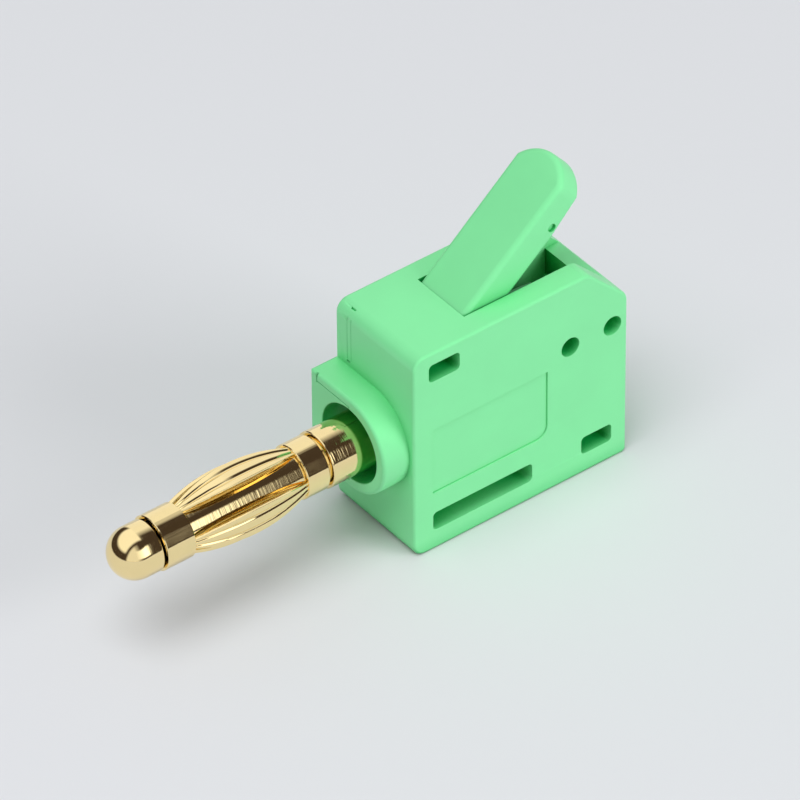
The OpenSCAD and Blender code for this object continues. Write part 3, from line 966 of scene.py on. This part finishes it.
class PLUG_OT_stage(bpy.types.Operator):
    """Makes the floor, the light and the camera"""

    bl_idname = "plug.stage"
    bl_label = "Stage"

    @staticmethod
    def plain_room(tree, toward):
        """What lights the part evenly: a pale room, a little darker towards the floor."""
        strength = 0.45
        greys = ((0.0, 0.6), (0.5, 0.8), (1.0, 1.0))
        shade = node(tree, "ShaderNodeValToRGB", links={"Fac": toward["Z"]})
        marks = shade.color_ramp.elements
        while len(marks) < len(greys):
            marks.new(0.5)
        for mark, (position, grey) in zip(marks, greys):
            mark.position = position
            mark.color = (grey, grey, grey, 1)
        return node(
            tree, "ShaderNodeBackground", {"Strength": strength}, {"Color": shade.outputs["Color"]},
        )

    @staticmethod
    def mirrored_room(tree, toward):
        """What polished metal sees: the bright panels of a room that is brown elsewhere."""
        light = node(tree, "ShaderNodeMath", {"operation": "ADD", 0: 0.0, 1: 0.0})
        for brightness, sides in ROOM_PANELS.values():
            panel = node(tree, "ShaderNodeMath", {"operation": "ADD", 0: brightness, 1: 0.0})
            for axis, dark, bright in sides:
                side = node(
                    tree, "ShaderNodeMapRange", {"From Min": dark, "From Max": bright},
                    {"Value": toward[axis]},
                )
                panel = node(
                    tree, "ShaderNodeMath", {"operation": "MULTIPLY"},
                    {0: panel.outputs[0], 1: side.outputs["Result"]},
                )
            light = node(
                tree, "ShaderNodeMath", {"operation": "ADD"},
                {0: light.outputs[0], 1: panel.outputs[0]},
            )
        colour = node(
            tree, "ShaderNodeMix",
            {
                "data_type": "RGBA", "clamp_factor": False,
                6: linear("#443A35"), 7: linear("#FFFFFF"),
            },
            {"Factor": light.outputs[0]},
        )
        return node(tree, "ShaderNodeBackground", links={"Color": colour.outputs[2]})

    @staticmethod
    def lay_floor(scene):
        """Lays the paper that the part stands on."""
        half_size, squares = 3.0, 8
        work = bmesh.new()
        bmesh.ops.create_grid(work, x_segments=squares, y_segments=squares, size=half_size)
        mesh = bpy.data.meshes.new("paper_floor")
        work.to_mesh(mesh)
        work.free()
        mesh.materials.append(bpy.data.materials["pale_matt_paper"])
        floor = bpy.data.objects.new("paper_floor", mesh)
        scene.collection.objects.link(floor)

    def light_room(self, scene):
        """Makes the room's light and hangs two softboxes."""
        world = bpy.data.worlds.new("studio")
        scene.world = world
        world.use_nodes = True
        tree = world.node_tree
        tree.nodes.clear()
        view = node(tree, "ShaderNodeTexCoord").outputs["Generated"]
        toward = node(tree, "ShaderNodeSeparateXYZ", links={"Vector": view}).outputs
        room = self.plain_room(tree, toward)
        mirrored = self.mirrored_room(tree, toward)
        path = node(tree, "ShaderNodeLightPath")
        seen = node(
            tree, "ShaderNodeMixShader",
            links={
                "Fac": path.outputs["Is Glossy Ray"],
                1: room.outputs["Background"], 2: mirrored.outputs["Background"],
            },
        )
        node(tree, "ShaderNodeOutputWorld", links={"Surface": seen.outputs["Shader"]})

        # Name, place in metres, width in metres and power in watts
        lamps = (
            ("top_softbox", (-0.26, -0.10, 0.66), 0.45, 2.9),
            ("near_softbox", (0.42, -0.72, 0.32), 0.50, 4.1),
        )
        aim = Vector((0, 0, 0.01))
        for name, place, width, power in lamps:
            data = bpy.data.lights.new(name, "AREA")
            data.size = width
            data.energy = power
            lamp = bpy.data.objects.new(name, data)
            lamp.location = place
            lamp.visible_glossy = False
            lamp.rotation_mode = "QUATERNION"
            lamp.rotation_quaternion = (aim - Vector(place)).to_track_quat("-Z", "Y")
            scene.collection.objects.link(lamp)

    @staticmethod
    def stand_camera(scene):
        """Stands the camera at the photo's viewing angle."""
        sizes = scene.plug_stage
        data = bpy.data.cameras.new("photo_camera")
        data.sensor_width = 36
        data.lens = sizes.camera_lens
        data.clip_start, data.clip_end = 0.01, 20
        camera = bpy.data.objects.new("photo_camera", data)
        camera.location = Vector(sizes.camera_place) * MM
        camera.rotation_euler = Euler(sizes.camera_turn)
        scene.collection.objects.link(camera)
        scene.camera = camera

    def execute(self, context):
        scene = context.scene
        scene.view_settings.view_transform = "Standard"
        self.lay_floor(scene)
        self.light_room(scene)
        self.stand_camera(scene)
        return {"FINISHED"}


class PLUG_PT_panel(bpy.types.Panel):
    """Lists the plug's sizes and its making"""

    bl_idname = "PLUG_PT_panel"
    bl_label = "Lever banana plug"
    bl_space_type = "VIEW_3D"
    bl_region_type = "UI"
    bl_category = "Plug"

    def draw(self, context):
        for name in GROUPS:
            group = getattr(context.scene, name)
            for key in group.__annotations__:
                self.layout.prop(group, key)
        for operator in OPERATORS:
            self.layout.operator(operator.bl_idname)


OPERATORS = (
    PLUG_OT_finishes, PLUG_OT_housing_body, PLUG_OT_housing_cover, PLUG_OT_lever,
    PLUG_OT_contact_pin, PLUG_OT_lantern_spring, PLUG_OT_stage,
)
GROUPS = {"plug_mouldings": PlugMouldings, "plug_contacts": PlugContacts, "plug_stage": PlugStage}


def register():
    for made in (*GROUPS.values(), *OPERATORS, PLUG_PT_panel):
        bpy.utils.register_class(made)
    for name, group in GROUPS.items():
        setattr(bpy.types.Scene, name, PointerProperty(type=group))


def unregister():
    for name in GROUPS:
        delattr(bpy.types.Scene, name)
    for made in (PLUG_PT_panel, *reversed(OPERATORS), *GROUPS.values()):
        bpy.utils.unregister_class(made)


def main():
    register()
    bpy.ops.plug.finishes()
    bpy.ops.plug.housing_body()
    bpy.ops.plug.housing_cover()
    bpy.ops.plug.lever()
    bpy.ops.plug.contact_pin()
    bpy.ops.plug.lantern_spring()
    bpy.ops.plug.stage()


if __name__ == "__main__":
    main()
